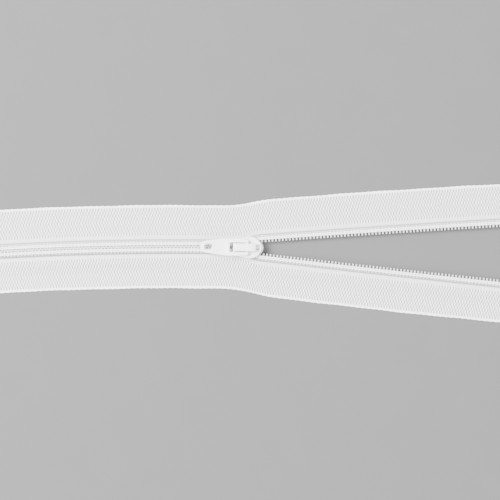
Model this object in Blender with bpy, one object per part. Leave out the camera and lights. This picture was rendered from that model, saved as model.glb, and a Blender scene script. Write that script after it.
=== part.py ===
"""Closed-end zipper, size 3: two woven tapes with sewn nylon coils, stops and an auto-lock slider.

Row frame: +X runs along the chain towards the open end, +Z is up out of the coil face, and z = 0 is the
surface that the tapes and the slider lie on. The origin is under the middle of the slider.
"""

import math

import bmesh
import bpy

MM = 0.001

# Chain and tapes, mm. s runs along the chain and v runs outwards from its middle.
PITCH = 1.09
ARC_RADIUS = 1000.0
TAIL_END = -110.0
RUN_START = -87.85
SLIDER_MOUTH = -4.4
OPEN_END = 112.0
TAPE_END = 130.0
OPEN_DEG = 5.0
PIVOT_X = -18.8
TURN_HALF = 4.5
JOIN_GAP = 0.1
STATION_STEP = 4.5
TURN_STEP = 0.9

# Tape section, mm
TAPE_INNER = 0.75
TAPE_BAND = 4.0
TAPE_FOOT = 8.5
TAPE_HALF_WIDTH = 13.1
TAPE_THICK = 0.45
TAPE_LIFT = 0.85
SELVEDGE = 0.12

# Coil section, mm
HEAD_REACH = 0.30
COIL_ROOT = 0.62
COIL_OUTER = 1.95
COIL_LOW = 1.35
COIL_MID = 1.95
COIL_TOP = 2.50
HEAD_WIDTH = 0.50
LEG_WIDTH = 0.40
MOUTH_TURNS = 3

# Core cord and stitching, mm
CORD_V = 1.28
CORD_Z = 1.63
CORD_RADIUS = 0.26
CORD_SIDES = 8
STITCH_ROWS = (0.98, 1.62)
STITCH_HALF = 0.14
STITCH_LOW = 2.55
STITCH_VALLEY = 2.62
STITCH_TOP = 2.75

# Stops, mm
STOP_LENGTH = 3.4
STOP_INNER = 0.08
STOP_OUTER = 2.3
STOP_TOP = 2.85
STOP_FLOOR = 0.30
STOP_WEB = 0.62
STOP_CHAMFER = 0.3
STOP_SLOT_GAP = 0.05

# Slider body, mm
REAR_X = -4.88
REAR_HALF = 2.60
SHOULDER_X = 0.47
SHOULDER_HALF = 3.43
LOW_NOSE_X = 4.72
HIGH_NOSE_X = 4.15
PLATE_THICK = 0.80
HIGH_LOW = 2.95
HIGH_TOP = 3.75
PLATE_CHAMFER = 0.16
HIGH_CHAMFER = 0.28
FLANGE_END = 0.9
FLANGE_LOW = 1.42
FLANGE_GAP = 0.15
POST_START = 0.30
POST_WIDE_X = 3.0
POST_HALF = 1.15
POST_END = 4.0
POST_TIP_HALF = 0.12
POST_TAPER = 0.42
UNION_DEPTH = 0.3
FLANGE_START = 0.12
FLANGE_INSET = 0.02
NOSE_POWER = 2.1
NOSE_ROOT = 0.55
HOOK_SLOT = (-2.85, -1.95)
HOOK_SLOT_HALF = 0.50
HOOK_SLOT_CORNER = 0.15
CUT_MARGIN = 1.0

# Pull tab, mm
PIVOT_PULL_X = -0.47
PIVOT_PULL_Z = 4.30
PULL_LOW = 3.85
PULL_TOP = 4.75
PULL_CHAMFER = 0.20
BAR_RADIUS = 0.42
WINDOW = (-5.98, -0.62)
WINDOW_HALF = 1.55
HOLE = (-14.0, -11.5)
HOLE_HALF = 0.94
WINDOW_OPEN_END = 1.5
CORNER = 0.35
BAR_OVERLAP = 0.5
BAR_SIDES = 16

# Cap and lock, mm
CAP_HALF = 1.22
CAP_END_HALF = 1.00
CAP_FOOT = 3.82
CAP_CHAMFER = 0.16
CAP_TAPER_START = 1.60
CAP_NOSE = 3.24
CHEEK_THICK = 0.24
CHEEK_INSET = 0.02
CHEEK_X = (-4.60, 1.70)
CHEEK_Z = (4.84, 5.33)
FRONT_SLOT_X = (2.45, 3.10)
FRONT_SLOT_Y = 0.45
FRONT_SLOT_HALF = 0.17
FRONT_SLOT_FLOOR = 4.15
LEVER_HALF = 0.33
LEVER_LOW = 4.80
LEVER_TOP = 5.00
HINGE_X = 1.20
LEVER_BEHIND_HINGE = 0.22
HOOK_BACK = -2.62
HOOK_FRONT = -2.26
HOOK_ROUND = 0.25
HOOK_TIP = 2.60
SPRING_LOW = 5.06
SPRING_TOP = 5.18
SPRING_HALF = 0.50
SPRING_X = (-3.40, 1.05)

WHITE = (0.86, 0.86, 0.86)


def clear_scene():
    for old in list(bpy.data.objects):
        bpy.data.objects.remove(old, do_unlink=True)


def paint(obj, colour, roughness, metallic=0.0):
    made = bpy.data.materials.new(obj.name + "_material")
    made.use_nodes = True
    shader = made.node_tree.nodes["Principled BSDF"]
    shader.inputs["Base Color"].default_value = (*colour, 1.0)
    shader.inputs["Roughness"].default_value = roughness
    shader.inputs["Metallic"].default_value = metallic
    obj.data.materials.append(made)


def finish(name, work, colour=WHITE, roughness=0.6, metallic=0.0, smooth=40.0, origin=(0, 0, 0)):
    """One object from a bmesh in millimetres, with its origin at the given point."""
    bmesh.ops.recalc_face_normals(work, faces=work.faces)
    for vert in work.verts:
        vert.co = [(vert.co[i] - origin[i]) * MM for i in range(3)]
    data = bpy.data.meshes.new(name)
    work.to_mesh(data)
    work.free()
    obj = bpy.data.objects.new(name, data)
    obj.location = [c * MM for c in origin]
    bpy.context.scene.collection.objects.link(obj)
    for face in data.polygons:
        face.use_smooth = True
    data.set_sharp_from_angle(angle=math.radians(smooth))
    paint(obj, colour, roughness, metallic)
    return obj


def ease(t):
    t = min(max(t, 0.0), 1.0)
    return t * t * (3 - 2 * t)


def place(side, s, v):
    """The point at s along the chain and v out from its middle, on the left (side 1) or the right (-1)."""
    if s < 0:
        angle = s / ARC_RADIUS
        reach = ARC_RADIUS + side * v
        x = reach * math.sin(angle)
        y = reach * math.cos(angle) - ARC_RADIUS
    else:
        x = s
        y = side * v
    turn = side * math.radians(OPEN_DEG) * ease((s + TURN_HALF) / (2 * TURN_HALF))
    across = x - PIVOT_X
    return (
        PIVOT_X + across * math.cos(turn) - y * math.sin(turn),
        across * math.sin(turn) + y * math.cos(turn),
    )


def stations(start, end):
    """Places along a run: close together where it turns at the slider, and far apart elsewhere."""
    marks = [start]
    while marks[-1] < end - 1e-6:
        here = marks[-1]
        near = -2 * TURN_HALF < here < 2 * TURN_HALF
        marks.append(min(here + (TURN_STEP if near else STATION_STEP), end))
    if len(marks) > 2 and marks[-1] - marks[-2] < TURN_STEP / 2:
        marks.pop(-2)
    return marks


def sweep(side, section, marks):
    """A closed tube along the chain. section is a ring of (v, z)."""
    work = bmesh.new()
    rings = []
    for s in marks:
        rings.append([work.verts.new((*place(side, s, v), z)) for v, z in section])
    for near, far in zip(rings, rings[1:]):
        for i in range(len(section)):
            j = (i + 1) % len(section)
            work.faces.new((near[i], near[j], far[j], far[i]))
    work.faces.new(rings[0])
    work.faces.new(rings[-1])
    return work


def tape_height(v):
    return TAPE_LIFT * (1 - ease((v - TAPE_BAND) / (TAPE_FOOT - TAPE_BAND)))


def tape_section():
    spots = [TAPE_INNER, TAPE_BAND]
    spots += [TAPE_BAND + (TAPE_FOOT - TAPE_BAND) * k / 4 for k in (1, 2, 3)]
    spots += [TAPE_FOOT, TAPE_HALF_WIDTH - SELVEDGE]
    low = [(v, tape_height(v)) for v in spots]
    high = [(v, z + TAPE_THICK) for v, z in low]
    edge = [
        (TAPE_HALF_WIDTH, SELVEDGE),
        (TAPE_HALF_WIDTH, TAPE_THICK - SELVEDGE),
    ]
    return low + edge + high[::-1]


def tape(name, side, start, end):
    work = sweep(side, tape_section(), stations(start, end))
    return finish(name, work, (0.80, 0.80, 0.80), 0.85)


def cord_section():
    turns = [2 * math.pi * k / CORD_SIDES for k in range(CORD_SIDES)]
    return [(CORD_V + CORD_RADIUS * math.cos(a), CORD_Z + CORD_RADIUS * math.sin(a)) for a in turns]


def cord(name, side, start, end):
    work = sweep(side, cord_section(), stations(start, end))
    return finish(name, work, (0.83, 0.83, 0.82), 0.9)


def stitch_section():
    inner, outer = STITCH_ROWS
    return [
        (inner - STITCH_HALF, STITCH_LOW),
        (inner - STITCH_HALF, STITCH_VALLEY),
        (inner, STITCH_TOP),
        (inner + STITCH_HALF, STITCH_VALLEY),
        (outer - STITCH_HALF, STITCH_VALLEY),
        (outer, STITCH_TOP),
        (outer + STITCH_HALF, STITCH_VALLEY),
        (outer + STITCH_HALF, STITCH_LOW),
    ]


def stitching(name, side, start, end):
    work = sweep(side, stitch_section(), stations(start, end))
    return finish(name, work, (0.86, 0.86, 0.86), 0.8)


def tooth_edge(work, side, s, lean):
    """The seven corners on one side of a coil head, from its tip back to the sewn spine."""
    tip = s + lean * HEAD_WIDTH / 2
    leg = s + lean * LEG_WIDTH / 2
    spots = (
        (tip, -HEAD_REACH, COIL_LOW),
        (tip, -HEAD_REACH, COIL_TOP),
        (leg, COIL_ROOT, COIL_LOW),
        (leg, COIL_ROOT, COIL_MID),
        (leg, COIL_ROOT, COIL_TOP),
        (leg, COIL_OUTER, COIL_MID),
        (leg, COIL_OUTER, COIL_TOP),
    )
    return [work.verts.new((*place(side, along, v), z)) for along, v, z in spots]


def coil(name, side, first, count):
    """A comb of coil heads on one spine. Each head is one turn of the coil."""
    work = bmesh.new()
    offset = 0.0 if side > 0 else PITCH / 2
    last = None
    for k in range(count):
        s = first + offset + k * PITCH
        a = tooth_edge(work, side, s, -1)
        b = tooth_edge(work, side, s, 1)
        for end in (a, b):
            work.faces.new([end[i] for i in (0, 1, 4, 3, 2)])
        for i, j in ((0, 1), (1, 4), (0, 2), (2, 3), (4, 6), (3, 5), (5, 6)):
            work.faces.new((a[i], a[j], b[j], b[i]))
        if last:
            for i, j in ((3, 4), (4, 6), (3, 5), (5, 6)):
                work.faces.new((last[i], last[j], a[j], a[i]))
        else:
            work.faces.new((a[3], a[4], a[6], a[5]))
        last = b
    work.faces.new((last[3], last[4], last[6], last[5]))
    return finish(name, work, (0.88, 0.88, 0.87), 0.35)


def top_stop_section():
    low = TAPE_LIFT - STOP_SLOT_GAP
    high = TAPE_LIFT + TAPE_THICK + STOP_SLOT_GAP
    return [
        (STOP_INNER, STOP_FLOOR + STOP_CHAMFER),
        (STOP_INNER + STOP_CHAMFER, STOP_FLOOR),
        (STOP_OUTER, STOP_FLOOR),
        (STOP_OUTER, low),
        (STOP_WEB, low),
        (STOP_WEB, high),
        (STOP_OUTER, high),
        (STOP_OUTER, STOP_TOP - STOP_CHAMFER),
        (STOP_OUTER - STOP_CHAMFER, STOP_TOP),
        (STOP_INNER + STOP_CHAMFER, STOP_TOP),
        (STOP_INNER, STOP_TOP - STOP_CHAMFER),
    ]


def top_stop(name, side):
    start = OPEN_END + JOIN_GAP
    work = sweep(side, top_stop_section(), [start, start + STOP_LENGTH / 2, start + STOP_LENGTH])
    return finish(name, work, (0.88, 0.88, 0.88), 0.3, smooth=30)


def bottom_stop(name):
    low = TAPE_LIFT - STOP_SLOT_GAP
    high = TAPE_LIFT + TAPE_THICK + STOP_SLOT_GAP
    half = [
        (STOP_OUTER, STOP_FLOOR),
        (STOP_OUTER, low),
        (STOP_WEB, low),
        (STOP_WEB, high),
        (STOP_OUTER, high),
        (STOP_OUTER, STOP_TOP - STOP_CHAMFER),
        (STOP_OUTER - STOP_CHAMFER, STOP_TOP),
    ]
    ring = half + [(-v, z) for v, z in reversed(half)]
    end = RUN_START - JOIN_GAP
    work = sweep(1, ring, [end - STOP_LENGTH, end - STOP_LENGTH / 2, end])
    return finish(name, work, (0.88, 0.88, 0.88), 0.3, smooth=30)


def half_width(x, nose):
    """Half the width of the slider's plates at x."""
    if x <= SHOULDER_X:
        return REAR_HALF + (SHOULDER_HALF - REAR_HALF) * ease((x - REAR_X) / (SHOULDER_X - REAR_X))
    along = (x - SHOULDER_X) / (nose - SHOULDER_X)
    return SHOULDER_HALF * max(0.0, 1 - along**NOSE_POWER) ** NOSE_ROOT


def plate_outline(nose, rear_step=0.5, nose_steps=12):
    """The plate's edge from the rear on the left side round the nose and back on the right."""
    spots = [(REAR_X, REAR_HALF - CORNER), (REAR_X + 0.1, REAR_HALF - 0.1)]
    x = REAR_X + CORNER
    while x < SHOULDER_X - 0.1:
        spots.append((x, half_width(x, nose)))
        x += rear_step
    for k in range(nose_steps):
        turn = math.pi / 2 * k / nose_steps
        x = SHOULDER_X + (nose - SHOULDER_X) * math.sin(turn)
        spots.append((x, half_width(x, nose)))
    return spots + [(nose, 0.0)] + [(x, -y) for x, y in reversed(spots)]


def inset(ring, by):
    """The ring moved inwards by a small distance. Rings run clockwise seen from above."""
    made = []
    for i, (x, y) in enumerate(ring):
        ax, ay = ring[i - 1]
        bx, by_ = ring[(i + 1) % len(ring)]
        dx, dy = bx - ax, by_ - ay
        size = math.hypot(dx, dy)
        made.append((x + by * dy / size, y - by * dx / size))
    return made


def puck(ring, low, high, bevel_low, bevel_high):
    """A flat solid with bevelled edges from an outline."""
    work = bmesh.new()
    levels = []
    if bevel_low:
        levels.append((inset(ring, bevel_low), low))
    levels.append((ring, low + bevel_low))
    levels.append((ring, high - bevel_high))
    if bevel_high:
        levels.append((inset(ring, bevel_high), high))
    rings = [[work.verts.new((x, y, z)) for x, y in points] for points, z in levels]
    for near, far in zip(rings, rings[1:]):
        for i in range(len(ring)):
            j = (i + 1) % len(ring)
            work.faces.new((near[i], near[j], far[j], far[i]))
    work.faces.new(rings[0])
    work.faces.new(rings[-1])
    bmesh.ops.recalc_face_normals(work, faces=work.faces)
    return work


def box(x0, x1, y0, y1, z0, z1):
    ring = [(x0, y0), (x0, y1), (x1, y1), (x1, y0)]
    return puck(ring, z0, z1, 0.0, 0.0)


def rounded(x0, x1, half, corner, steps=4):
    """A rounded rectangle about the X axis, clockwise seen from above."""
    ring = []
    for cx, cy, first in (
        (x0 + corner, -half + corner, 270),
        (x0 + corner, half - corner, 180),
        (x1 - corner, half - corner, 90),
        (x1 - corner, -half + corner, 0),
    ):
        for k in range(steps + 1):
            turn = math.radians(first - 90 * k / steps)
            ring.append((cx + corner * math.cos(turn), cy + corner * math.sin(turn)))
    return ring


def helper(work):
    """A hidden object for a Boolean, from a bmesh in millimetres."""
    for vert in work.verts:
        vert.co *= MM
    data = bpy.data.meshes.new("cutter")
    work.to_mesh(data)
    work.free()
    obj = bpy.data.objects.new("cutter", data)
    obj.hide_render = True
    obj.display_type = "WIRE"
    bpy.context.scene.collection.objects.link(obj)
    return obj


def combine(obj, works, operation):
    """Unions or cuts with each bmesh in turn, and leaves no helper behind."""
    for work in works:
        tool = helper(work)
        step = obj.modifiers.new("combine", "BOOLEAN")
        step.operation = operation
        step.solver = "EXACT"
        step.object = tool
        bpy.context.view_layer.update()
        graph = bpy.context.evaluated_depsgraph_get()
        done = bpy.data.meshes.new_from_object(obj.evaluated_get(graph))
        obj.modifiers.clear()
        obj.data = done
        bpy.data.objects.remove(tool, do_unlink=True)


def arm_shift(s):
    """How far the coil has moved out from the chain's middle at s."""
    return place(1, s, 0.0)[1]


def flange(side):
    """The wall that hangs from the upper plate beside the coil and keeps it in the slider."""
    inner = []
    outer = []
    steps = 14
    start = REAR_X + FLANGE_START
    for k in range(steps + 1):
        x = start + (FLANGE_END - start) * k / steps
        inner.append((x, side * (COIL_OUTER + arm_shift(x) + FLANGE_GAP)))
        outer.append((x, side * (half_width(x, LOW_NOSE_X) - FLANGE_INSET)))
    ring = inner + outer[::-1]
    if side > 0:
        ring = ring[::-1]
    return puck(ring, FLANGE_LOW, HIGH_LOW + UNION_DEPTH, 0.0, 0.0)


def post():
    """The wedge between the plates that parts the two coils."""
    left = [(POST_START, 0.0)]
    for k in range(1, 9):
        x = POST_START + (POST_WIDE_X - POST_START) * k / 8
        left.append((x, min(POST_HALF, POST_TIP_HALF + POST_TAPER * (x - POST_START))))
    for k in range(1, 5):
        turn = math.pi / 2 * k / 5
        x = POST_WIDE_X + (POST_END - POST_WIDE_X) * math.sin(turn)
        left.append((x, POST_HALF * math.cos(turn)))
    ring = left + [(POST_END, 0.0)] + [(x, -y) for x, y in reversed(left[1:])]
    return puck(ring, PLATE_THICK - UNION_DEPTH, HIGH_LOW + UNION_DEPTH, 0.0, 0.0)


def slider_body(name):
    lower = puck(plate_outline(LOW_NOSE_X), 0.0, PLATE_THICK, PLATE_CHAMFER, PLATE_CHAMFER)
    obj = finish(name, lower, WHITE, 0.25, smooth=35)
    upper = puck(plate_outline(HIGH_NOSE_X), HIGH_LOW, HIGH_TOP, PLATE_CHAMFER, HIGH_CHAMFER)
    combine(obj, [post(), upper, flange(1), flange(-1)], "UNION")
    slot = rounded(*HOOK_SLOT, HOOK_SLOT_HALF, HOOK_SLOT_CORNER)
    combine(obj, [puck(slot, HIGH_LOW - CUT_MARGIN, HIGH_TOP + CUT_MARGIN, 0.0, 0.0)], "DIFFERENCE")
    return obj


def pull_outline():
    """The tab's edge: rounded tip, widest beside the window, rounded arm ends."""
    half = [
        (-15.10, 0.0),
        (-15.05, 0.55),
        (-14.85, 1.10),
        (-14.40, 1.60),
        (-13.60, 1.90),
        (-12.00, 2.12),
        (-10.00, 2.38),
        (-8.00, 2.64),
        (-6.50, 2.76),
        (-4.00, 2.72),
        (-1.20, 2.62),
        (-0.55, 2.52),
        (-0.12, 2.28),
        (0.06, 1.90),
        (0.0, 1.57),
    ]
    return half + [(x, -y) for x, y in reversed(half[1:])]


def bar():
    """The round bar that joins the tab's arms under the cap, and turns there."""
    work = bmesh.new()
    rings = []
    for y in (-WINDOW_HALF - BAR_OVERLAP, WINDOW_HALF + BAR_OVERLAP):
        ring = []
        for k in range(BAR_SIDES):
            turn = 2 * math.pi * k / BAR_SIDES
            x = PIVOT_PULL_X + BAR_RADIUS * math.cos(turn)
            ring.append(work.verts.new((x, y, PIVOT_PULL_Z + BAR_RADIUS * math.sin(turn))))
        rings.append(ring)
    for i in range(BAR_SIDES):
        j = (i + 1) % BAR_SIDES
        work.faces.new((rings[0][i], rings[0][j], rings[1][j], rings[1][i]))
    work.faces.new(rings[0])
    work.faces.new(rings[1])
    bmesh.ops.recalc_face_normals(work, faces=work.faces)
    return work


def pull_tab(name):
    plate = puck(pull_outline(), PULL_LOW, PULL_TOP, PULL_CHAMFER, PULL_CHAMFER)
    obj = finish(name, plate, WHITE, 0.25, smooth=35, origin=(PIVOT_PULL_X, 0, PIVOT_PULL_Z))
    window = rounded(WINDOW[0], WINDOW_OPEN_END, WINDOW_HALF, CORNER)
    hole = rounded(*HOLE, HOLE_HALF, CORNER)
    cuts = [puck(ring, PULL_LOW - CUT_MARGIN, PULL_TOP + CUT_MARGIN, 0.0, 0.0) for ring in (window, hole)]
    combine(obj, cuts, "DIFFERENCE")
    combine(obj, [bar()], "UNION")
    return obj


def cap_half_width(x):
    return CAP_HALF + (CAP_END_HALF - CAP_HALF) * ease((x - CAP_TAPER_START) / (CAP_NOSE - CAP_TAPER_START))


def slider_cap(name):
    """The arched cap over the tab's bar. Its front foot stands on the nose."""
    outer = [
        (-4.75, CAP_FOOT),
        (-4.75, 4.95),
        (-4.62, 5.25),
        (-4.35, 5.45),
        (-3.60, 5.55),
        (0.20, 5.55),
        (0.90, 5.50),
        (1.60, 5.32),
        (2.30, 4.92),
        (2.90, 4.40),
        (CAP_NOSE, 4.00),
        (CAP_NOSE, CAP_FOOT),
    ]
    inner = [(1.60, CAP_FOOT), (1.60, 4.90), (1.15, 5.25), (-4.00, 5.25), (-4.42, 4.90), (-4.42, CAP_FOOT)]
    work = bmesh.new()
    rings = []
    for share, drop in ((-1, CAP_CHAMFER), (-1, 0), (1, 0), (1, CAP_CHAMFER)):
        ring = []
        for i, (x, z) in enumerate(outer + inner):
            top = i < len(outer) and z > CAP_FOOT
            width = cap_half_width(x) - (0.0 if drop else CAP_CHAMFER)
            ring.append(work.verts.new((x, share * width, z - (drop if top else 0.0))))
        rings.append(ring)
    for near, far in zip(rings, rings[1:]):
        for i in range(len(near)):
            j = (i + 1) % len(near)
            work.faces.new((near[i], near[j], far[j], far[i]))
    work.faces.new(rings[0])
    work.faces.new(rings[-1])
    obj = finish(name, work, WHITE, 0.25, smooth=35)
    cheeks = []
    for side in (-1, 1):
        near = side * (CAP_HALF - CHEEK_INSET - CHEEK_THICK)
        far = side * (CAP_HALF - CHEEK_INSET)
        cheeks.append(box(*CHEEK_X, min(near, far), max(near, far), *CHEEK_Z))
    combine(obj, cheeks, "UNION")
    slots = []
    for side in (-1, 1):
        middle = side * FRONT_SLOT_Y
        near = middle - FRONT_SLOT_HALF
        far = middle + FRONT_SLOT_HALF
        slots.append(box(*FRONT_SLOT_X, near, far, FRONT_SLOT_FLOOR, SPRING_TOP + CUT_MARGIN))
    combine(obj, slots, "DIFFERENCE")
    return obj


def side_profile(name, points, half, origin, roughness):
    """A strip cut to a side profile of (x, z), with the given half width."""
    work = bmesh.new()
    rings = [[work.verts.new((x, y, z)) for x, z in points] for y in (-half, half)]
    for i in range(len(points)):
        j = (i + 1) % len(points)
        work.faces.new((rings[0][i], rings[0][j], rings[1][j], rings[1][i]))
    work.faces.new(rings[0])
    work.faces.new(rings[1])
    return finish(name, work, (0.62, 0.62, 0.60), roughness, 1.0, 30, origin)


def lock_hook(name):
    points = [
        (HINGE_X + LEVER_BEHIND_HINGE, LEVER_LOW),
        (HINGE_X + LEVER_BEHIND_HINGE, LEVER_TOP),
        (-2.45, LEVER_TOP),
        (HOOK_BACK, LEVER_TOP - 0.15),
        (HOOK_BACK, HOOK_TIP + HOOK_ROUND),
        (-2.50, HOOK_TIP),
        (-2.30, HOOK_TIP),
        (HOOK_FRONT, HOOK_TIP + HOOK_ROUND),
        (HOOK_FRONT, LEVER_LOW),
    ]
    return side_profile(name, points, LEVER_HALF, (HINGE_X, 0, (LEVER_LOW + LEVER_TOP) / 2), 0.35)


def lock_spring(name):
    points = [
        (SPRING_X[1], SPRING_LOW),
        (SPRING_X[1], SPRING_TOP),
        (SPRING_X[0], SPRING_TOP),
        (SPRING_X[0], SPRING_LOW),
    ]
    return side_profile(name, points, SPRING_HALF, (0, 0, 0), 0.3)


def whole_turns(start, end):
    """(first, count) of the coil turns that lie wholly between two places."""
    first = math.ceil(start / PITCH)
    last = math.floor((end - PITCH / 2) / PITCH)
    return first * PITCH, last - first + 1


def tape_side(word, side):
    closed_end = SLIDER_MOUTH - JOIN_GAP / 2
    open_start = SLIDER_MOUTH + JOIN_GAP / 2
    tape(word + "_tape_tail", side, TAIL_END, RUN_START - JOIN_GAP)
    tape(word + "_tape_closed_run", side, RUN_START, closed_end)
    tape(word + "_tape_open_run", side, open_start, TAPE_END)
    cord(word + "_core_cord_closed_run", side, RUN_START, closed_end)
    cord(word + "_core_cord_open_run", side, open_start, OPEN_END)
    stitching(word + "_stitching_closed_run", side, RUN_START, closed_end)
    stitching(word + "_stitching_open_run", side, open_start, OPEN_END)
    first, count = whole_turns(RUN_START + HEAD_WIDTH / 2, SLIDER_MOUTH - HEAD_WIDTH / 2)
    coil(word + "_coil_closed_run", side, first, count)
    mouth = first + count * PITCH
    coil(word + "_coil_in_slider", side, mouth, MOUTH_TURNS)
    start = mouth + MOUTH_TURNS * PITCH
    first, count = whole_turns(start, OPEN_END - HEAD_WIDTH / 2)
    coil(word + "_coil_open_run", side, first, count)
    top_stop(word + "_top_stop", side)


def build():
    clear_scene()
    tape_side("left", 1)
    tape_side("right", -1)
    bottom_stop("bottom_stop")
    slider_body("slider_body")
    slider_cap("slider_cap")
    pull_tab("pull_tab")
    lock_hook("lock_hook")
    lock_spring("lock_spring")


build()
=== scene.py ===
import math

import bmesh
import bpy
import numpy as np
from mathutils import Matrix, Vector


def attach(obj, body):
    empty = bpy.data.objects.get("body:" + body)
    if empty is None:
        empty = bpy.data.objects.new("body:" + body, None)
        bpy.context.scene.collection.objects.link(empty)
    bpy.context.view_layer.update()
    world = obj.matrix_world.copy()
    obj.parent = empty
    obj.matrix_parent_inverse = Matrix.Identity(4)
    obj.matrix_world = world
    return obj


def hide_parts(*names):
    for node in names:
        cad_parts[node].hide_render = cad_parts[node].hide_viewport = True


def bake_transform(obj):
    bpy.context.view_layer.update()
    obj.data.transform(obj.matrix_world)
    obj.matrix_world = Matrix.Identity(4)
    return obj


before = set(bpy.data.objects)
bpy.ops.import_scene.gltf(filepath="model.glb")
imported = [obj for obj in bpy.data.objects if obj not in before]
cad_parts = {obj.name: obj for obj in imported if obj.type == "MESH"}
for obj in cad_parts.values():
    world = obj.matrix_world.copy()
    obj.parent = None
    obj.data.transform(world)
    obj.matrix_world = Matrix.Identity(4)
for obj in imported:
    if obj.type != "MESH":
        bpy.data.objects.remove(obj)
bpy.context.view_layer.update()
MM = 0.001
SIDES = (("left", 1), ("right", -1))

# Chain, in mm, as in the solid model. s runs along the chain and v runs out from its middle.
PITCH = 1.09
ARC = 1000.0
TAIL_END, RUN_START, MOUTH, OPEN_END, TAPE_END = -110.0, -87.85, -4.4, 112.0, 130.0
OPEN = math.radians(5.0)
PIVOT_X = -18.8
BOW_INNER, BOW_OUTER = 0.13, 0.33
TURN = 4.5


# ---------------------------------------------------------------- shape helpers


def ease(t):
    t = np.clip(t, 0.0, 1.0)
    return t * t * (3 - 2 * t)


def place(side, s, v):
    """World x and y, in mm, of points at s along the chain and v out from its middle."""
    s, v = np.broadcast_arrays(np.asarray(s, float), np.asarray(v, float))
    angle = np.minimum(s, 0.0) / ARC
    x = np.where(s < 0, (ARC + side * v) * np.sin(angle), s)
    y = np.where(s < 0, (ARC + side * v) * np.cos(angle) - ARC, side * v)
    zone = TURN * (1 + ease((v - 2.5) / 9))
    turn = side * OPEN * ease((s + zone) / (2 * zone))
    bow = BOW_INNER + (BOW_OUTER - BOW_INNER) * ease((v - 1.5) / 8)
    y = y + side * bow * np.sin(math.pi * np.clip((s - 6) / 78, 0, 1))
    across = x - PIVOT_X
    return (
        PIVOT_X + across * np.cos(turn) - y * np.sin(turn),
        across * np.sin(turn) + y * np.cos(turn),
    )


def mesh_object(name, points, faces, material, smooth=True):
    data = bpy.data.meshes.new(name)
    points = np.asarray(points, float)
    data.from_pydata((points * MM).tolist(), [], faces)
    data.materials.append(material)
    data.polygons.foreach_set("use_smooth", [smooth] * len(data.polygons))
    data.update()
    obj = bpy.data.objects.new(name, data)
    bpy.context.scene.collection.objects.link(obj)
    return obj


def grid_faces(rows, columns, first=0, around=False, flip=False):
    """Quads of a grid of points, row by row. around closes each row into a ring."""
    i = np.arange(rows - 1)[:, None]
    j = np.arange(columns if around else columns - 1)[None, :]
    k = (j + 1) % columns
    a = first + i * columns + j
    b = first + i * columns + k
    c = first + (i + 1) * columns + k
    d = first + (i + 1) * columns + j
    quads = np.stack([a, b, c, d], -1).reshape(-1, 4)
    if flip:
        quads = quads[:, ::-1]
    return quads.tolist()


def outward(obj):
    """Turns the faces outwards."""
    work = bmesh.new()
    work.from_mesh(obj.data)
    bmesh.ops.recalc_face_normals(work, faces=work.faces)
    work.to_mesh(obj.data)
    work.free()
    return obj


def stand_for(obj, node):
    """A detailed piece takes the place of a solid."""
    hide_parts(node)
    return obj


def cover(obj, body, node):
    """A detailed piece that rides on a body in place of a solid."""
    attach(obj, body)
    return stand_for(obj, node)


def set_uv(obj, name, flat):
    """A UV map from one pair of values for each point."""
    layer = obj.data.uv_layers.new(name=name)
    corner = np.empty(len(obj.data.loops), int)
    obj.data.loops.foreach_get("vertex_index", corner)
    layer.data.foreach_set("uv", flat[corner].ravel())


# ---------------------------------------------------------------- materials


class Nodes:
    """Short calls for building one material."""

    def __init__(self, name):
        self.made = bpy.data.materials.new(name)
        self.made.use_nodes = True
        self.tree = self.made.node_tree
        self.shader = self.tree.nodes["Principled BSDF"]

    def set(self, **values):
        for key, value in values.items():
            self.shader.inputs[key.replace("_", " ")].default_value = value

    def node(self, kind, inputs=None, **settings):
        node = self.tree.nodes.new(kind)
        for key, value in settings.items():
            setattr(node, key, value)
        for key, value in (inputs or {}).items():
            if isinstance(value, bpy.types.NodeSocket):
                self.tree.links.new(value, node.inputs[key])
            else:
                node.inputs[key].default_value = value
        return node

    def to(self, socket, key):
        self.tree.links.new(socket, self.shader.inputs[key])

    def place(self, scale=(1, 1, 1), uv=None):
        """Coordinates in mm, from the piece's own space, or from a UV map in mm."""
        if uv:
            start = self.node("ShaderNodeUVMap", uv_map=uv).outputs[0]
            size = scale
        else:
            start = self.node("ShaderNodeTexCoord").outputs["Object"]
            size = tuple(1000 * c for c in scale)
        return self.node("ShaderNodeMapping", {"Vector": start, "Scale": size}).outputs[0]

    def noise(self, where, scale, detail=3.0, rough=0.5):
        return self.node(
            "ShaderNodeTexNoise",
            {"Vector": where, "Scale": scale, "Detail": detail, "Roughness": rough},
        ).outputs[0]

    def ramp(self, factor, stops):
        node = self.node("ShaderNodeValToRGB", {"Fac": factor})
        for i, (at, colour) in enumerate(stops):
            spot = node.color_ramp.elements[i] if i < 2 else node.color_ramp.elements.new(at)
            spot.position = at
            spot.color = (*colour, 1)
        return node.outputs[0]

    def math(self, kind, a, b=0.0, c=0.0):
        return self.node("ShaderNodeMath", {0: a, 1: b, 2: c}, operation=kind).outputs[0]

    def mix(self, factor, a, b, blend="MIX"):
        return self.node(
            "ShaderNodeMix", {0: factor, 6: a, 7: b}, data_type="RGBA", blend_type=blend
        ).outputs[2]

    def range(self, value, low, high):
        inputs = {"Value": value, "To Min": low, "To Max": high}
        return self.node("ShaderNodeMapRange", inputs).outputs[0]

    def bump(self, height, distance, strength=1.0, normal=None):
        inputs = {"Height": height, "Distance": distance, "Strength": strength}
        if normal:
            inputs["Normal"] = normal
        return self.node("ShaderNodeBump", inputs).outputs[0]


def grey(value, warm=0.0):
    return (value + warm, value, value - warm)


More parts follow.
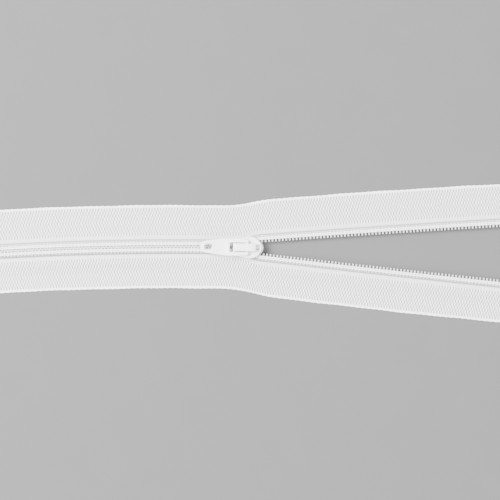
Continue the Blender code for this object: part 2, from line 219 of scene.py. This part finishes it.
def tape_material():
    """Warp-knitted polyester: bright loops, valleys coloured far darker as painted shade of the gaps
    between the yarns, fine filaments along each yarn.
    """
    m = Nodes("tape_knit")
    where = m.place(uv="tape")
    across = m.node("ShaderNodeSeparateXYZ", {0: where}).outputs[1]
    # the filaments lean one way on the inner rows and the other way on the outer rows
    lean = m.math("MULTIPLY_ADD", m.math("GREATER_THAN", across, 7.4), -1.0, 0.5)
    turned = m.node(
        "ShaderNodeVectorRotate",
        {"Vector": where, "Angle": lean},
        rotation_type="Z_AXIS",
    ).outputs[0]
    drawn = m.node("ShaderNodeMapping", {"Vector": turned, "Scale": (1.6, 13.0, 1.0)}).outputs[0]
    fibre = m.noise(drawn, 1.5, 4.0, 0.62)
    cloud = m.noise(where, 0.10, 2.0)
    lift = m.node("ShaderNodeAttribute", attribute_name="loop").outputs["Fac"]
    # painted shade: the knit's valleys get nearly black colour, far darker than white yarn, and the
    # loops near white
    knit_shade_tones = [(0.0, grey(0.05)), (0.5, grey(0.47)), (0.80, grey(0.94)), (1.0, grey(0.98))]
    colour = m.ramp(lift, knit_shade_tones)
    colour = m.mix(0.12, colour, m.ramp(fibre, [(0.30, grey(0.50)), (0.70, grey(0.95))]))
    colour = m.mix(m.range(cloud, 0.0, 0.06), colour, (0.66, 0.664, 0.668, 1))
    # painted highlight: the selvedge is painted lighter than the rest of the tape
    edge = m.node(
        "ShaderNodeMapRange", {"Value": across, "From Min": 12.45, "From Max": 12.75}
    ).outputs[0]
    colour = m.mix(m.math("MULTIPLY", edge, 0.85), colour, (0.95, 0.95, 0.95, 1))
    m.to(colour, "Base Color")
    m.to(m.range(fibre, 0.70, 0.95), "Roughness")
    m.set(Sheen_Weight=0.15, Sheen_Roughness=0.45)
    m.to(m.bump(fibre, 0.00010, 0.9), "Normal")
    return m.made


def nylon_material():
    """Clear-white monofilament: smooth, a little translucent, with faint drawing lines. Its colour is
    kept grey, as painted shade of the chain's deep middle.
    """
    m = Nodes("nylon_filament")
    where = m.place()
    cloud = m.noise(where, 0.5, 2.0)
    fine = m.noise(m.place((1.0, 1.0, 3.0)), 6.0, 2.0)
    # painted shade: mid grey instead of white, to darken the interlocked middle of the chain
    m.to(m.ramp(cloud, [(0.3, grey(0.54)), (0.7, grey(0.60))]), "Base Color")
    m.to(m.range(fine, 0.26, 0.46), "Roughness")
    m.set(Subsurface_Weight=0.25, Subsurface_Radius=(0.0004, 0.0004, 0.0004), Subsurface_Scale=1.0)
    m.to(m.bump(fine, 0.00002, 0.5), "Normal")
    return m.made


def thread_material(name, low, high, twist):
    """Spun polyester thread, with the plies' lay as fine slanted lines."""
    m = Nodes(name)
    where = m.place(uv="lay")
    plies = m.node(
        "ShaderNodeTexWave",
        {"Vector": where, "Scale": twist, "Distortion": 1.2, "Detail": 2.0},
        bands_direction="DIAGONAL",
    ).outputs[1]
    fluff = m.noise(m.place(), 9.0, 3.0)
    mixed = m.math("MULTIPLY_ADD", plies, 0.7, m.math("MULTIPLY", fluff, 0.3))
    m.to(m.ramp(mixed, [(0.15, grey(low)), (0.8, grey(high))]), "Base Color")
    m.to(m.range(fluff, 0.6, 0.9), "Roughness")
    m.set(Sheen_Weight=0.3, Sheen_Roughness=0.5)
    m.to(m.bump(mixed, 0.00004, 0.7), "Normal")
    return m.made


def enamel_material(name, value=0.86):
    """Stoved white enamel over a zinc casting: soft orange peel, and edges rubbed a little thin."""
    m = Nodes(name)
    where = m.place()
    peel = m.noise(where, 1.4, 2.0, 0.5)
    speck = m.noise(where, 6.5, 4.0, 0.6)
    worn = m.node("ShaderNodeNewGeometry").outputs["Pointiness"]
    edge = m.ramp(worn, [(0.52, grey(0.0)), (0.60, grey(1.0))])
    rub = m.math("MULTIPLY", edge, m.range(speck, 0.0, 0.35))
    tint = m.ramp(speck, [(0.3, grey(value - 0.02)), (0.7, grey(value + 0.015))])
    m.to(m.mix(rub, tint, (0.74, 0.73, 0.71, 1)), "Base Color")
    m.to(m.range(speck, 0.24, 0.42), "Roughness")
    m.set(Coat_Weight=0.35, Coat_Roughness=0.18)
    m.to(m.bump(peel, 0.00003, 0.5), "Normal")
    return m.made


def plastic_material():
    """Moulded stop: satin, with slight flow marks."""
    m = Nodes("moulded_stop")
    flow = m.noise(m.place((1.0, 3.0, 1.0)), 1.2, 3.0)
    fine = m.noise(m.place(), 9.0, 3.0)
    m.to(m.ramp(flow, [(0.3, grey(0.84)), (0.7, grey(0.89))]), "Base Color")
    m.to(m.range(fine, 0.3, 0.5), "Roughness")
    m.to(m.bump(fine, 0.00002, 0.5), "Normal")
    return m.made


def steel_material():
    """Thin rolled spring steel."""
    m = Nodes("spring_steel")
    lines = m.noise(m.place((0.6, 14.0, 14.0)), 2.0, 3.0)
    m.to(m.ramp(lines, [(0.3, grey(0.50)), (0.7, grey(0.66))]), "Base Color")
    m.to(m.range(lines, 0.22, 0.42), "Roughness")
    m.set(Metallic=1.0)
    m.to(m.bump(lines, 0.00001, 0.5), "Normal")
    return m.made


def floor_material():
    m = Nodes("pale_floor")
    fine = m.noise(m.place((0.02, 0.02, 0.02)), 4.0, 3.0)
    m.to(m.ramp(fine, [(0.3, grey(0.108)), (0.7, grey(0.111))]), "Base Color")
    m.set(Roughness=0.9)
    return m.made


TAPE = tape_material()
NYLON = nylon_material()
THREAD = thread_material("sewing_thread", 0.88, 0.97, 2.2)
CORD = thread_material("core_cord", 0.66, 0.82, 1.2)
ENAMEL = enamel_material("white_enamel")
STOP = plastic_material()
STEEL = steel_material()

# ---------------------------------------------------------------- tapes

CLOSED_INNER, OPEN_INNER, TAPE_EDGE = 0.12, 0.47, 13.1
BAND, FOOT, LIFT = 4.0, 8.5, 0.85
ROW_FIRST, ROW_STEP, ROWS = 3.95, 0.98, 9
LOOP = 0.88
TAPE_STEP = 0.17
ROW_PHASE = (0.0, 0.40, 0.84, 0.30, 0.70, 0.28, 0.82, 0.36, 0.92)
KNIT_HIGH = 0.28
GROOVE_V = 2.14
CLOTH_TOP, CLOTH_LOW = 0.21, 0.02


def loops(s, v):
    """Height of the knit, from 0 in the valleys through 0.5 on the ground cloth to 1 on the loops."""
    wave = np.zeros_like(s)
    for row in range(ROWS):
        middle = ROW_FIRST + ROW_STEP * row
        lean = 0.42 if row % 2 else -0.30
        phase = (s / LOOP + ROW_PHASE[row] + lean * (v - middle)) * 2 * math.pi
        across = np.exp(-(((v - middle) / 0.48) ** 2))
        strong = 0.88 + 0.12 * np.cos(phase / 2 + row)
        wave += across * np.cos(phase) * strong
    knit = ease((v - 3.3) / 0.5) * (1 - ease((v - 12.25) / 0.3))
    # the plain band beside the coil, in fine ribs, with a groove along the back of the coil; the
    # groove also darkens the tape's colour there, as painted shadow of the coil
    plain = 0.06 * np.cos(2 * math.pi * v / 0.40) + 0.06 * np.cos(2 * math.pi * s / 0.44 + 6 * v)
    ribs = 0.26 * np.cos(2 * math.pi * s / 0.68 + 2.4 * np.sin(4.2 * v))
    ribs = ribs + 0.12 * np.cos(2 * math.pi * v / 0.62)
    groove_and_shadow = 0.46 * np.exp(-(((v - GROOVE_V) / 0.20) ** 2))
    plain = 0.12 + plain - groove_and_shadow + ribs * (1 - ease((v - 1.7) / 0.4))
    # the selvedge is a firm bead of loops; it also lifts the colour there, as painted highlight
    bead_and_highlight = ease((v - 12.25) / 0.25) * (0.30 + 0.15 * np.cos(2 * math.pi * s / LOOP))
    return 0.5 + 0.5 * wave * knit + plain * (1 - ease((v - 3.3) / 0.5)) + bead_and_highlight


def tape_lift(v):
    return LIFT * (1 - ease((v - BAND) / (FOOT - BAND)))


def edge_wave(s):
    """The selvedge wanders a little and shows its loops."""
    slow = 0.05 * np.sin(s / 5.3 + 1.0) + 0.04 * np.sin(s / 2.1)
    return slow + 0.05 * np.cos(2 * math.pi * s / (2 * LOOP)) + 0.02 * np.cos(2 * math.pi * s / 0.61)


def tape(name, side, start, end, inner, fray_start=False, fray_end=False):
    rows = int((end - start) / TAPE_STEP) + 2
    s = np.linspace(start, end, rows)
    columns = int((TAPE_EDGE - inner) / TAPE_STEP) + 2
    share = np.linspace(0, 1, columns)
    ss, uu = np.meshgrid(s, share, indexing="ij")
    vv = inner + uu * (TAPE_EDGE - inner)
    pull = edge_wave(ss) * side
    vv = vv + pull * ease((uu - 0.55) / 0.45)
    along = ss.copy()
    for cut, sign, on in ((start, -1, fray_start), (end, 1, fray_end)):
        if on:
            teeth = 0.10 * np.sin(vv * 9.1) + 0.08 * np.sin(vv * 23.0 + 1) - 0.1
            along += sign * teeth * np.exp(-(((ss - cut) / 0.25) ** 2))
    knit = loops(ss, vv)
    slow = 0.015 * np.sin(ss / 9.0) * np.sin(vv / 3.0) + 0.01
    column = uu * (columns - 1)
    from_edge = np.minimum(column, columns - 1 - column)
    round_edge = np.sqrt(np.clip(1 - ((2 - from_edge) / 2.2).clip(0, 1) ** 2, 0.0, 1))
    top = tape_lift(vv) + CLOTH_TOP + KNIT_HIGH * knit + slow
    low = tape_lift(vv) + CLOTH_LOW + 0.02 * (1 - knit)
    middle = (top + low) / 2
    top = middle + (top - middle) * round_edge
    low = middle - (middle - low) * round_edge
    x, y = place(side, along, vv)
    # the top first, then the underside, which carries the same knit
    points = np.concatenate(
        [np.stack([x, y, top], -1).reshape(-1, 3), np.stack([x, y, low], -1).reshape(-1, 3)]
    )
    n = rows * columns
    faces = grid_faces(rows, columns) + grid_faces(rows, columns, n, flip=True)
    rim = (
        [(i, i + 1) for i in range(columns - 1)]
        + [(columns * (i + 1) - 1, columns * (i + 2) - 1) for i in range(rows - 1)]
        + [(n - 1 - i, n - 2 - i) for i in range(columns - 1)]
        + [(columns * (rows - 1 - i), columns * (rows - 2 - i)) for i in range(rows - 1)]
    )
    faces += [(b, a, a + n, b + n) for a, b in rim]
    obj = mesh_object(name, points, faces, TAPE)
    obj.data.set_sharp_from_angle(angle=math.radians(75))
    # the knit height also sets the tape's colour, as painted shade in the valleys; the underside gets
    # it times 0.8, as painted shade under the tape
    knit_shade = obj.data.attributes.new("loop", "FLOAT", "POINT")
    knit_shade.data.foreach_set("value", np.concatenate([knit.ravel(), knit.ravel() * 0.8]).clip(0, 1))
    set_uv(obj, "tape", np.stack([np.tile(along.ravel(), 2), np.tile(vv.ravel(), 2)], -1))
    return outward(obj)


def bend(obj, word, run):
    """Bakes a run's placement into its mesh; the run is not bent."""
    if run == "closed":
        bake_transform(obj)
    else:
        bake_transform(obj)
    return obj


def tapes():
    for word, side in SIDES:
        name = word + "_tape_"
        tail_start, tail_stop = TAIL_END + 0.2, RUN_START - 0.02
        tail = tape(name + "tail_knit", side, tail_start, tail_stop, CLOSED_INNER, fray_start=True)
        cover(tail, "closed_end", name + "tail")
        closed = tape(name + "closed_knit", side, tail_stop, MOUTH, CLOSED_INNER)
        bend(closed, word, "closed")
        stand_for(closed, name + "closed_run")
        opened = tape(name + "open_knit", side, MOUTH, TAPE_END - 0.2, OPEN_INNER, fray_end=True)
        bend(opened, word, "open")
        stand_for(opened, name + "open_run")


# ---------------------------------------------------------------- coils

LEG_TOP, LEG_LOW, HEAD_TOP = 2.30, 1.55, 2.02
FILAMENT_WIDE, FILAMENT_HIGH = 0.255, 0.20
HEAD_V, BACK_V = 0.0, 1.58


LEG_STEPS, BEND_STEPS = 4, 5
DRIFT = 0.35  # share of a pitch that the lower leg moves along


def turn_path():
    """One turn of the coil as (s share of a pitch, v, z, how much it is a head)."""
    half = (LEG_TOP - LEG_LOW) / 2
    middle = (LEG_TOP + LEG_LOW) / 2
    bend = (HEAD_TOP - LEG_LOW) / 2
    spots = []
    for t in np.linspace(0, 1, LEG_STEPS, endpoint=False):
        top = LEG_TOP + (HEAD_TOP - LEG_TOP) * ease((t - 0.45) / 0.45)
        spots.append((0.0, BACK_V + (HEAD_V - BACK_V) * t, top, ease((t - 0.6) / 0.4)))
    for t in np.linspace(0, 1, BEND_STEPS, endpoint=False):
        turn = math.pi * t
        spots.append((0.0, HEAD_V - 0.20 * math.sin(turn), LEG_LOW + bend * (1 + math.cos(turn)), 1.0))
    for t in np.linspace(0, 1, LEG_STEPS, endpoint=False):
        drift = DRIFT * ease(t)
        spots.append((drift, HEAD_V + (BACK_V - HEAD_V) * t, LEG_LOW, 1 - ease(t / 0.4)))
    for t in np.linspace(0, 1, BEND_STEPS, endpoint=False):
        turn = math.pi * t
        drift = DRIFT + (1 - DRIFT) * ease(t)
        spots.append((drift, BACK_V + 0.16 * math.sin(turn), middle - half * math.cos(turn), 0.0))
    return np.array(spots, float)


def tube(path, along, wide, high, sides):
    """Ring points round a path of (s, v, z). along is the direction that wide is measured in."""
    ahead = np.gradient(path, axis=0)
    ahead /= np.linalg.norm(ahead, axis=1, keepdims=True)
    across = along - (along * ahead).sum(1, keepdims=True) * ahead
    across /= np.linalg.norm(across, axis=1, keepdims=True)
    up = np.cross(ahead, across)
    turn = 2 * math.pi * np.arange(sides) / sides
    return (
        path[:, None, :]
        + across[:, None, :] * (np.cos(turn)[None, :, None] * wide[:, None, None])
        + up[:, None, :] * (np.sin(turn)[None, :, None] * high[:, None, None])
    )


def along_chain(side, rings):
    x, y = place(side, rings[..., 0], rings[..., 1])
    return np.stack([x, y, rings[..., 2]], -1)


def tube_mesh(name, side, tubes, material, uv=None):
    """One object from several closed tubes, each an array of rings in (s, v, z)."""
    points, faces, flat = [], [], []
    first = 0
    for rings in tubes:
        rows, columns = rings.shape[:2]
        points.append(along_chain(side, rings).reshape(-1, 3))
        faces += grid_faces(rows, columns, first, around=True)
        faces.append(list(range(first + columns - 1, first - 1, -1)))
        last = first + (rows - 1) * columns
        faces.append(list(range(last, last + columns)))
        first += rows * columns
        if uv:
            turn = np.tile(np.arange(columns) / columns, rows)
            flat.append(np.stack([rings[..., 0].ravel(), turn], -1))
    obj = mesh_object(name, np.concatenate(points), faces, material)
    if uv:
        set_uv(obj, uv, np.concatenate(flat))
    return outward(obj)


def coil(name, side, first, count, size=1.0):
    """The monofilament, wound flat: its heads stand past the middle of the chain."""
    turn = turn_path()
    offset = 0.0 if side > 0 else PITCH / 2
    starts = first + offset + np.arange(count) * PITCH
    path = np.concatenate([turn[:, :3] * (PITCH, 1, 1) + (s, 0, 0) for s in starts])
    head = np.tile(turn[:, 3], count)
    wide = FILAMENT_WIDE * size * (1 + 0.06 * head)
    high = FILAMENT_HIGH * size * (1 - 0.06 * head)
    rings = tube(path, np.array([[1.0, 0.0, 0.0]]), wide, high, 8)
    return tube_mesh(name, side, [rings], NYLON)


def turns(start, end):
    first = math.ceil(start / PITCH)
    last = math.floor((end - PITCH / 2) / PITCH)
    return first * PITCH, last - first + 1


def coils():
    for word, side in SIDES:
        first, count = turns(RUN_START + 0.25, MOUTH - 0.25)
        closed = coil(word + "_coil_closed_turns", side, first, count)
        bend(closed, word, "closed")
        stand_for(closed, word + "_coil_closed_run")
        mouth = first + count * PITCH
        held = coil(word + "_coil_turns_in_slider", side, mouth, 3, size=0.93)
        cover(held, "turns_in_slider", word + "_coil_in_slider")
        opened = coil(word + "_coil_open_turns", side, mouth, turns(mouth, OPEN_END - 0.25)[1])
        bend(opened, word, "open")
        stand_for(opened, word + "_coil_open_run")


# ---------------------------------------------------------------- threads and cords


def twisted(start, end, v, z, strand, lay, plies, step, wobble=None):
    """Plies that wind round a line along the chain, as separate tubes."""
    s = np.linspace(start, end, int((end - start) / step) + 2)
    base_v, base_z = np.full_like(s, v), np.full_like(s, z)
    if wobble:
        base_v, base_z = wobble(s, base_v, base_z)
    made = []
    for ply in range(plies):
        turn = 2 * math.pi * (s / lay + ply / plies)
        ply_v = base_v + strand * np.cos(turn) * 0.9
        path = np.stack([s, ply_v, base_z + strand * np.sin(turn) * 0.7], -1)
        wide = np.full_like(s, strand * 1.12)
        made.append(tube(path, np.array([[0.0, 1.0, 0.0]]), wide, wide, 6))
    return made


STITCH_ROWS, STITCH_Z, STRAND = (0.72, 1.22), 2.50, 0.125
CORD_V, CORD_Z = 1.10, 1.925


def stitch_line(s, v, z):
    """A stitch row dips between the legs of the coil."""
    lift = np.cos(2 * math.pi * s / PITCH)
    return v + 0.035 * np.sin(2 * math.pi * s / PITCH), z + 0.05 * lift


def stitching(name, side, start, end):
    offset = 0.0 if side > 0 else PITCH / 2
    step = 0.136

    def dip(s, v, z):
        return stitch_line(s - offset, v, z)

    tubes = []
    for v in STITCH_ROWS:
        tubes += twisted(start, end, v, STITCH_Z, STRAND, PITCH, 2, step, dip)
    # loops that tie the two rows down between the legs
    first, count = turns(start + 0.4, end - 0.4)
    for k in range(count):
        s = first + offset + (k + 0.5) * PITCH
        if not start + 0.2 < s < end - 0.2:
            continue
        t = np.linspace(0, 1, 7)
        v = STITCH_ROWS[0] + (STITCH_ROWS[1] - STITCH_ROWS[0]) * t
        path = np.stack([s + 0.18 * (t - 0.5), v, STITCH_Z - 0.07 * np.sin(math.pi * t)], -1)
        wide = np.full_like(t, 0.09)
        tubes.append(tube(path, np.array([[1.0, 0.0, 0.0]]), wide, wide, 5))
    return tube_mesh(name, side, tubes, THREAD, uv="lay")


def core_cord(name, side, start, end):
    step = 0.25
    tubes = twisted(start, end, CORD_V, CORD_Z, 0.11, 1.9, 3, step)
    return tube_mesh(name, side, tubes, CORD, uv="lay")


def threads():
    for word, side in SIDES:
        for run, start, end in (("closed", RUN_START, MOUTH), ("open", MOUTH, OPEN_END)):
            rows = stitching(f"{word}_stitch_rows_{run}", side, start, end)
            bend(rows, word, run)
            stand_for(rows, f"{word}_stitching_{run}_run")
            cord = core_cord(f"{word}_twisted_cord_{run}", side, start, end)
            bend(cord, word, run)
            stand_for(cord, f"{word}_core_cord_{run}_run")


# ---------------------------------------------------------------- slider

REAR_X, REAR_HALF = -4.88, 2.60
SHOULDER_X, SHOULDER_HALF = 0.47, 3.43
LOW_NOSE, HIGH_NOSE = 4.72, 4.15


def half_width(x, nose):
    if x <= SHOULDER_X:
        share = float(ease((x - REAR_X) / (SHOULDER_X - REAR_X)))
        return REAR_HALF + (SHOULDER_HALF - REAR_HALF) * share
    along = (x - SHOULDER_X) / (nose - SHOULDER_X)
    return SHOULDER_HALF * max(0.0, 1 - along**2.1) ** 0.55


def plate_outline(nose, shrink=0.0):
    """Clockwise seen from above, starting at the rear on the left side."""
    corner, rear, nose = 0.45, REAR_X + shrink, nose - shrink
    spots = []
    for k in range(5):
        turn = math.pi / 2 * k / 5
        y = REAR_HALF - shrink - corner * (1 - math.sin(turn))
        spots.append((rear + corner * (1 - math.cos(turn)), y))
    for x in np.arange(rear + corner, SHOULDER_X - 0.05, 0.22):
        spots.append((float(x), half_width(float(x), nose) - shrink))
    for k in range(30):
        x = SHOULDER_X + (nose - SHOULDER_X) * math.sin(math.pi / 2 * k / 30)
        spots.append((x, half_width(x, nose) * (1 - shrink / SHOULDER_HALF)))
    return spots + [(nose, 0.0)] + [(x, -y) for x, y in reversed(spots)]


def inset(ring, by):
    ring = np.asarray(ring, float)
    ahead = np.roll(ring, -1, 0) - np.roll(ring, 1, 0)
    ahead /= np.linalg.norm(ahead, axis=1, keepdims=True)
    return ring + by * np.stack([ahead[:, 1], -ahead[:, 0]], -1)


def puck(ring, low, high, round_low, round_high, name="puck", steps=4):
    """A flat solid with rounded edges from an outline."""
    levels = []
    for k in range(steps if round_low else 0):
        turn = math.pi / 2 * k / steps
        narrow = inset(ring, round_low * (1 - math.sin(turn)))
        levels.append((narrow, low + round_low * (1 - math.cos(turn))))
    levels.append((np.asarray(ring, float), low + round_low))
    levels.append((np.asarray(ring, float), high - round_high))
    for k in range(steps if round_high else 0):
        turn = math.pi / 2 * (k + 1) / steps
        narrow = inset(ring, round_high * (1 - math.cos(turn)))
        levels.append((narrow, high - round_high * (1 - math.sin(turn))))
    n = len(ring)
    points = np.concatenate([np.column_stack([spots, np.full(n, z)]) for spots, z in levels])
    faces = grid_faces(len(levels), n, around=True)
    faces.append(list(range(n)))
    faces.append(list(range((len(levels) - 1) * n, len(levels) * n))[::-1])
    return outward(mesh_object(name, points, faces, ENAMEL))


def combine(obj, tools, kind):
    """Applies a Boolean with each tool and drops the tool."""
    for tool in tools:
        step = obj.modifiers.new("combine", "BOOLEAN")
        step.operation = kind
        step.solver = "EXACT"
        step.object = tool
        settle(obj)
        bpy.data.objects.remove(tool, do_unlink=True)
    return obj


def settle(obj):
    """Applies the object's modifiers."""
    bpy.context.view_layer.update()
    graph = bpy.context.evaluated_depsgraph_get()
    done = bpy.data.meshes.new_from_object(obj.evaluated_get(graph))
    obj.modifiers.clear()
    obj.data = done


def soften(obj, width, steps=2, angle=40):
    """Rounds the sharp edges that the Booleans left."""
    edge = obj.modifiers.new("soften", "BEVEL")
    edge.width = width * MM
    edge.segments = steps
    edge.limit_method = "ANGLE"
    edge.angle_limit = math.radians(angle)
    edge.harden_normals = False
    settle(obj)
    for face in obj.data.polygons:
        face.use_smooth = True
    obj.data.set_sharp_from_angle(angle=math.radians(38))
    return obj


def rounded(x0, x1, half, corner, steps=6):
    ring = []
    for cx, cy, first in (
        (x0 + corner, -half + corner, 270),
        (x0 + corner, half - corner, 180),
        (x1 - corner, half - corner, 90),
        (x1 - corner, -half + corner, 0),
    ):
        for k in range(steps + 1):
            turn = math.radians(first - 90 * k / steps)
            ring.append((cx + corner * math.cos(turn), cy + corner * math.sin(turn)))
    return ring


def front_slot(side, low):
    """One of the two slots in front of the cap, where the hook's nose can be seen."""
    ring = rounded(2.42, 3.18, 0.21, 0.14, 3)
    return puck([(x, y + side * 0.50) for x, y in ring], low, 6.0, 0, 0)


def slider_body():
    obj = puck(plate_outline(LOW_NOSE), 0.0, 0.80, 0.22, 0.22, "slider_body_enamelled")
    upper = puck(plate_outline(HIGH_NOSE), 2.95, 3.75, 0.16, 0.30)
    wedge = [(0.30, 0.0)]
    for k in range(1, 13):
        x = 0.30 + 2.7 * k / 12
        wedge.append((x, min(1.15, 0.12 + 0.42 * (x - 0.30))))
    for k in range(1, 9):
        turn = math.pi / 2 * k / 9
        wedge.append((3.0 + math.sin(turn), 1.15 * math.cos(turn)))
    wedge += [(4.0, 0.0)] + [(x, -y) for x, y in reversed(wedge[1:])]
    parts = [puck(wedge, 0.5, 3.25, 0, 0), upper]
    for side in (1, -1):
        x = np.linspace(REAR_X + 0.12, 0.9, 26)
        shift = place(1, x, 0.0)[1]
        inner = np.column_stack([x, side * (1.95 + shift + 0.15)])
        outer = np.column_stack([x, [side * (half_width(float(a), LOW_NOSE) - 0.03) for a in x]])
        ring = np.concatenate([inner, outer[::-1]])
        parts.append(puck(ring[::-1] if side > 0 else ring, 1.42, 3.25, 0, 0))
    combine(obj, parts, "UNION")
    dish = plate_outline(HIGH_NOSE, 0.55)
    slot = puck(rounded(-2.85, -1.95, 0.5, 0.15), 2.0, 5.0, 0, 0)
    cuts = [puck(dish, 3.50, 4.5, 0, 0), slot, front_slot(1, 1.8), front_slot(-1, 1.8)]
    combine(obj, cuts, "DIFFERENCE")
    soften(obj, 0.06)
    return cover(obj, "slider", "slider_body")


PIVOT = (-0.47, 4.30)


def pull_outline():
    spots = np.array(
        [
            (-15.10, 0.0), (-15.04, 0.62), (-14.82, 1.12), (-14.40, 1.55), (-13.60, 1.86),
            (-12.00, 2.12), (-10.00, 2.38), (-8.00, 2.64), (-6.50, 2.75), (-4.00, 2.71),
            (-1.20, 2.62), (-0.55, 2.52), (-0.12, 2.26), (0.06, 1.90), (0.0, 1.57),
        ]
    )
    smooth = []
    for i in range(len(spots) - 1):
        a = spots[i - 1] if i else spots[1] * (1, -1)
        b, c = spots[i], spots[i + 1]
        d = spots[min(i + 2, len(spots) - 1)]
        square = 2 * a - 5 * b + 4 * c - d
        cube = 3 * b - a - 3 * c + d
        for t in (0, 0.25, 0.5, 0.75):
            smooth.append(tuple(0.5 * (2 * b + (c - a) * t + square * t**2 + cube * t**3)))
    smooth.append(tuple(spots[-1]))
    return smooth + [(x, -y) for x, y in reversed(smooth[1:])]


def bar(x, z, radius, half):
    turn = 2 * math.pi * np.arange(24) / 24
    rows = np.array([-half, half])
    points = [(x + radius * math.cos(a), y, z + radius * math.sin(a)) for y in rows for a in turn]
    faces = grid_faces(2, 24, around=True) + [list(range(24)), list(range(24, 48))]
    return outward(mesh_object("bar", points, faces, ENAMEL))


def pull_tab():
    obj = puck(pull_outline(), 3.85, 4.75, 0.26, 0.26, "pull_tab_enamelled")
    window = puck(rounded(-5.98, 1.5, 1.55, 0.45), 3.0, 6.0, 0, 0)
    hole = puck(rounded(-13.95, -11.5, 0.94, 0.38), 3.0, 6.0, 0, 0)
    panel = [(-10.9, -1.75), (-10.9, 1.75), (-7.3, 2.12), (-6.55, 1.45), (-6.55, -2.15)]
    top = puck(panel, 4.71, 5.2, 0, 0)
    under = puck(panel, 3.4, 3.89, 0, 0)
    combine(obj, [window, hole, top, under], "DIFFERENCE")
    combine(obj, [bar(*PIVOT, 0.42, 1.9)], "UNION")
    soften(obj, 0.07)
    return cover(obj, "pull", "pull_tab")


def cap():
    outer = [
        (-4.75, 3.82), (-4.75, 4.85), (-4.71, 5.08), (-4.58, 5.28), (-4.37, 5.43), (-4.05, 5.52),
        (-3.60, 5.55), (-2.0, 5.55), (-0.8, 5.55), (0.20, 5.55), (0.90, 5.50), (1.60, 5.32),
        (2.0, 5.14), (2.40, 4.85),
        (2.80, 4.48), (3.08, 4.18), (3.24, 3.95), (3.24, 3.82),
    ]
    inner = [
        (1.60, 3.82), (1.60, 4.90), (1.42, 5.12), (1.15, 5.25), (-4.00, 5.25), (-4.30, 5.12),
        (-4.42, 4.90), (-4.42, 3.82),
    ]
    profile = np.array(outer + inner)
    top = np.array([i < len(outer) and z > 3.83 for i, (_, z) in enumerate(profile)])
    half = 1.22 - 0.22 * ease((profile[:, 0] - 1.6) / 1.64)
    reach = 0.30
    rings = []
    angles = [math.pi / 2 * k / 6 for k in range(7)]
    for side in (-1, 1):
        for turn in angles if side < 0 else angles[::-1]:
            z = profile[:, 1] - np.where(top, reach * (1 - math.sin(turn)), 0.0)
            y = side * (half - reach * (1 - math.cos(turn)))
            rings.append(np.column_stack([profile[:, 0], y, z]))
    points = np.concatenate(rings)
    n = len(profile)
    faces = grid_faces(len(rings), n, around=True)
    faces += [list(range(n)), list(range(len(points) - n, len(points)))]
    obj = outward(mesh_object("slider_cap_enamelled", points, faces, ENAMEL))
    cheeks = []
    for side in (-1, 1):
        ring = rounded(-4.6, 1.7, 0.12, 0.05, 2)
        cheeks.append(puck([(x, y + side * 1.08) for x, y in ring], 4.84, 5.33, 0, 0))
    combine(obj, cheeks, "UNION")
    cuts = []
    for side in (-1, 1):
        cuts.append(front_slot(side, 3.70))
        ring = rounded(-4.50, -4.22, 0.13, 0.1, 3)
        cuts.append(puck([(x, y + side * 0.62) for x, y in ring], 5.33, 6.0, 0, 0))
    combine(obj, cuts, "DIFFERENCE")
    soften(obj, 0.04)
    return cover(obj, "slider", "slider_cap")


def refined(node, name, material, width, steps=3):
    """The solid's own shape with its edges rounded."""
    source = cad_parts[node]
    obj = bpy.data.objects.new(name, source.data.copy())
    obj.matrix_world = source.matrix_world
    bpy.context.scene.collection.objects.link(obj)
    obj.data.materials.clear()
    obj.data.materials.append(material)
    work = bmesh.new()
    work.from_mesh(obj.data)
    bmesh.ops.remove_doubles(work, verts=work.verts, dist=1e-6)
    bmesh.ops.dissolve_limit(work, angle_limit=math.radians(2), verts=work.verts, edges=work.edges)
    work.to_mesh(obj.data)
    work.free()
    return soften(obj, width, steps, 25)


def slider():
    slider_body()
    cap()
    pull_tab()
    hook = refined("lock_hook", "lock_hook_strip", STEEL, 0.04)
    cover(hook, "lock", "lock_hook")
    # the leaf is held by the body at one end and pressed by the hook at the other; here it is baked
    # fixed in place and rides on no body
    leaf = refined("lock_spring", "lock_leaf_spring", STEEL, 0.02)
    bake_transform(leaf)
    stand_for(leaf, "lock_spring")


def stops():
    bottom = refined("bottom_stop", "bottom_stop_moulded", STOP, 0.16)
    cover(bottom, "closed_end", "bottom_stop")
    for word, _ in SIDES:
        top = refined(word + "_top_stop", word + "_top_stop_moulded", STOP, 0.14)
        cover(top, word + "_open_arm", word + "_top_stop")


# ---------------------------------------------------------------- stage


def stage():
    half, low = 1500.0, -0.02
    points = [(-half, -half, low), (half, -half, low), (half, half, low), (-half, half, low)]
    floor = mesh_object("floor", points, [(0, 1, 2, 3)], floor_material(), smooth=False)
    world = bpy.data.worlds.new("studio")
    bpy.context.scene.world = world
    world.use_nodes = True
    back = world.node_tree.nodes["Background"]
    back.inputs[0].default_value = (1.0, 1.0, 1.0, 1)
    back.inputs[1].default_value = 1.35
    for name, where, size, power in (
        ("key", (-0.58, 0.18, 0.72), 0.45, 44.0),
        ("fill", (0.50, -0.30, 0.8), 0.9, 15.0),
    ):
        data = bpy.data.lights.new(name, "AREA")
        data.size = size
        data.energy = power
        lamp = bpy.data.objects.new(name, data)
        lamp.location = where
        lamp.rotation_euler = (-Vector(where)).to_track_quat("-Z", "Y").to_euler()
        bpy.context.scene.collection.objects.link(lamp)


def camera():
    tilt = math.radians(1.3)
    far, width = 1.2, 0.1575
    data = bpy.data.cameras.new("camera")
    data.sensor_width = 36
    data.lens = 36 * far / width
    data.clip_start = 0.01
    made = bpy.data.objects.new("camera", data)
    made.location = (0.00049, -0.00078, 0.002 + far)
    made.rotation_euler = (0, 0, tilt)
    bpy.context.scene.collection.objects.link(made)
    bpy.context.scene.camera = made


camera()
stage()
tapes()
coils()
threads()
slider()
stops()
